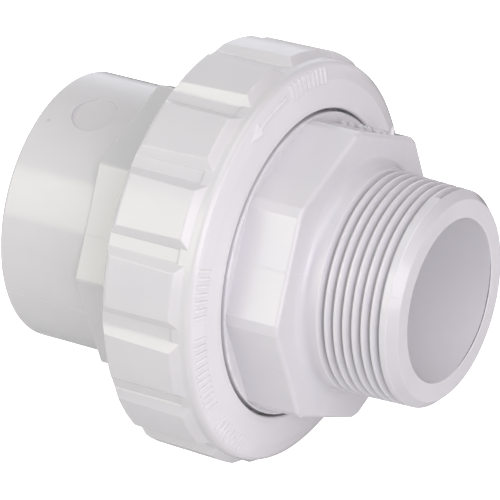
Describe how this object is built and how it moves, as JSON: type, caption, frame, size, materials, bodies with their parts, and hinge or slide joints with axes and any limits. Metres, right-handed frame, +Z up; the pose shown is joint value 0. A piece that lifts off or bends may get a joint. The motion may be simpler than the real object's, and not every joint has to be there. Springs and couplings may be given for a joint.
{
  "type": "pipe union",
  "caption": "White plastic pipe union: slip socket at one end, tapered male pipe thread at the other, joined by a padded screw-down nut over a seal ring.",
  "frame": {"origin": "centre of the slip socket's open mouth, on the pipe axis", "axes": "+X along the pipe axis from the slip socket to the end of the male thread, +Z up with one corner of each wrench octagon pointing up"},
  "size_m": [0.096, 0.0924, 0.0924],
  "materials": {
    "pvc_body": "satin moulded white plastic",
    "pvc_nut": "satin moulded white plastic",
    "pvc_tail": "satin moulded white plastic",
    "seal_rubber": "matt black rubber"
  },
  "bodies": {
    "socket_body": {"socket_end": "pvc_body"},
    "seal_carrier": {"o_ring": "seal_rubber"},
    "tail": {"tailpiece": "pvc_tail"},
    "nut": {"union_nut": "pvc_nut"}
  },
  "joints": [
    {"name": "union_draw", "type": "slide", "parent": "socket_body", "child": "seal_carrier", "axis": [1, 0, 0], "range_m": [0, 0.0176]},
    {"name": "nut_turn", "type": "hinge", "parent": "seal_carrier", "child": "nut", "pos_m": [0.048, 0, 0], "axis": [1, 0, 0], "range_deg": [0, 1260]},
    {"name": "tail_swivel", "type": "hinge", "parent": "seal_carrier", "child": "tail", "pos_m": [0.053, 0, 0], "axis": [1, 0, 0], "continuous": true}
  ],
  "couplings": [
    {"joint": "union_draw", "follows": "nut_turn", "m_per_rad": 0.00079577}
  ]
}
